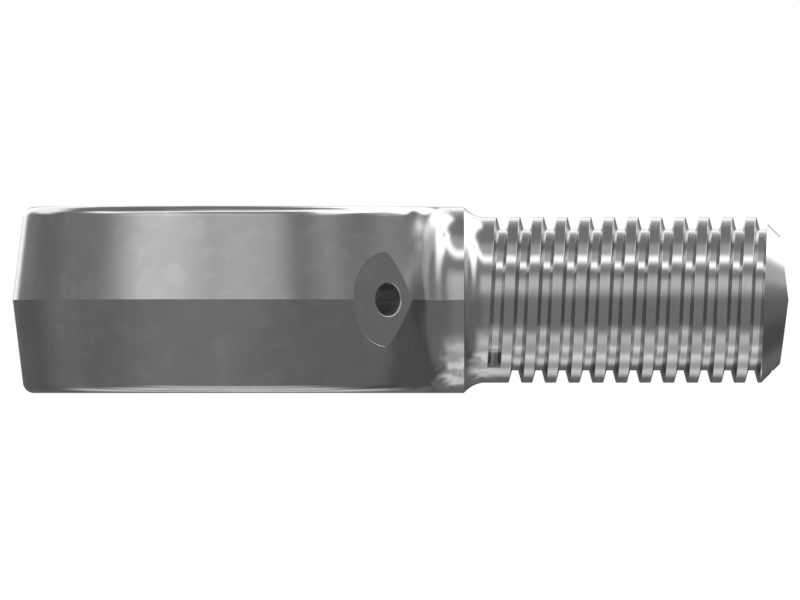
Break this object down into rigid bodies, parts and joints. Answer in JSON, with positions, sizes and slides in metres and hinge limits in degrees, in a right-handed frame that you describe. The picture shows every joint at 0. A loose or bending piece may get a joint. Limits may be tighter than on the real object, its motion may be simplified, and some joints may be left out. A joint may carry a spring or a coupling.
{
  "type": "rod eye",
  "caption": "Forged steel rod eye: thick drafted eye with a plain bore, round neck, left-hand trapezoidal threaded shank and an angled grease hole with a spot-faced seat.",
  "frame": {"origin": "middle of the bore, halfway between the two flat faces of the eye", "axes": "+Z along the bore, +X along the shank to its threaded end, the grease hole on the -Y side"},
  "size_m": [0.2082, 0.1184, 0.05],
  "materials": {
    "steel": "bare forged and turned steel, smooth and lightly stained, bright on the turned faces"
  },
  "bodies": {
    "root": {"rod_eye": "steel"}
  },
  "joints": []
}
